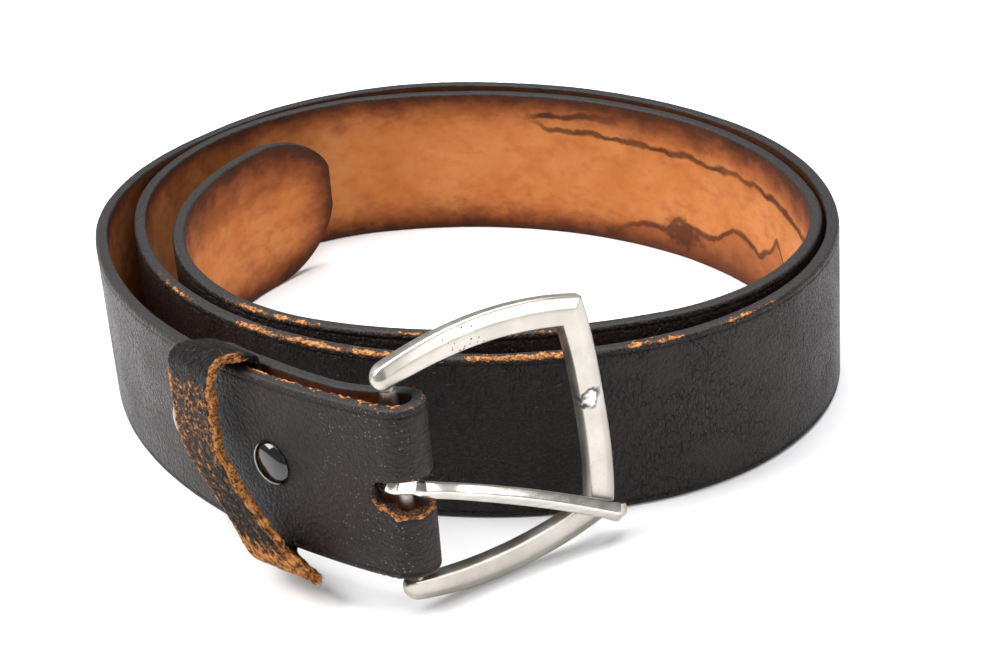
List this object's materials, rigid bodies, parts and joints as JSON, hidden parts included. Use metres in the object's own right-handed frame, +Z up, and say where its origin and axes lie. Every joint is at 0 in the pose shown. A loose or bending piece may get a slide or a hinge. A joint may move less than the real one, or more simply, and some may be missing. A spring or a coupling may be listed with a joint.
{
  "type": "leather belt",
  "caption": "Coiled leather belt standing on its edge, with a folded end, a pivoting heel-bar buckle, a swinging tongue, a keeper loop and screw posts.",
  "frame": {"origin": "middle of the underside of the whole coiled belt", "axes": "+Z up across the strap's width, -Y towards the buckle, +X to the right of the buckle end"},
  "size_m": [0.1786, 0.2036, 0.0611],
  "materials": {
    "strap_leather": "worn black bridle leather with a tan flesh side",
    "keeper_leather": "cracked black leather with frayed tan edges",
    "satin_nickel": "satin nickel plate, pitted and chipped",
    "polished_nickel": "polished nickel plate with a worn tip",
    "black_enamel": "gloss black"
  },
  "bodies": {
    "belt": {"strap": "strap_leather", "front_screw_post": "black_enamel", "front_screw": "black_enamel", "rear_screw_post": "black_enamel", "rear_screw": "black_enamel"},
    "buckle": {"buckle_frame": "satin_nickel", "buckle_bar": "satin_nickel"},
    "tongue": {"buckle_tongue": "polished_nickel"},
    "keeper": {"keeper_loop": "keeper_leather"}
  },
  "joints": [
    {"name": "buckle_swing", "type": "hinge", "parent": "belt", "child": "buckle", "pos_m": [-0.01538, -0.09536, 0.0303], "axis": [-0.0523, 0.0436, 0.9977], "range_deg": [-80, 0]},
    {"name": "tongue_swing", "type": "hinge", "parent": "buckle", "child": "tongue", "pos_m": [-0.01538, -0.09536, 0.0303], "axis": [-0.0523, 0.0436, 0.9977], "range_deg": [-25, 0]},
    {"name": "keeper_travel", "type": "hinge", "parent": "belt", "child": "keeper", "pos_m": [0.07379, 0.03797, 0], "axis": [0, 0, 1], "range_deg": [-1.6, 1.6]}
  ]
}
